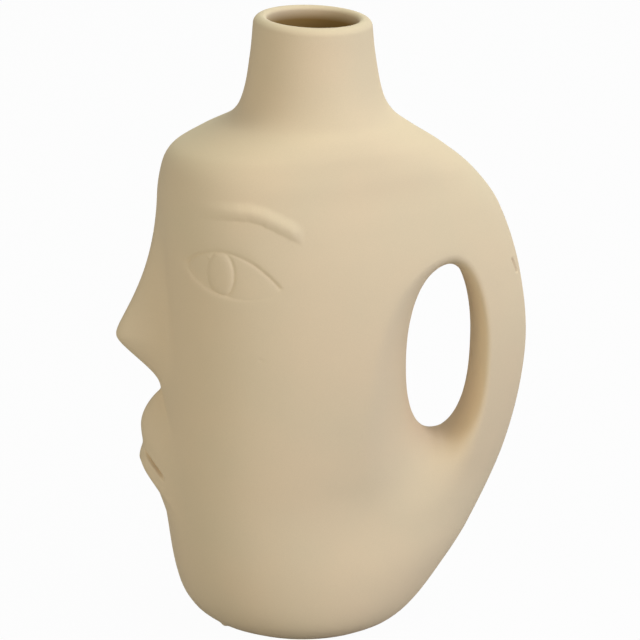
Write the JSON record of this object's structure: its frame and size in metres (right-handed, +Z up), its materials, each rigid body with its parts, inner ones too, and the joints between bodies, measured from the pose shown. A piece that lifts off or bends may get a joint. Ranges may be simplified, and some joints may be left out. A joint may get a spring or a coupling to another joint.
{
  "type": "earthenware vase",
  "caption": "Matt earthenware vase shaped as a stylised head in profile, with a round neck, relief features and a back handle formed by a finger gap right through the body.",
  "frame": {"origin": "on the neck's axis, at the flat underside of the foot", "axes": "+Z up along the neck, the face looks toward -X, the handle is at +X, the halves meet on the XZ plane"},
  "size_m": [0.1751, 0.0984, 0.262],
  "materials": {
    "bisque": "unglazed matt buff clay with a soft mottle",
    "glaze": "thin clear glaze over the clay, inside only"
  },
  "bodies": {
    "root": {"left_half": "bisque", "right_half": "bisque", "neck_collar": "bisque", "base_slab": "bisque", "left_brow": "bisque", "right_brow": "bisque", "left_iris": "bisque", "right_iris": "bisque", "glaze_lining": "glaze"}
  },
  "joints": []
}
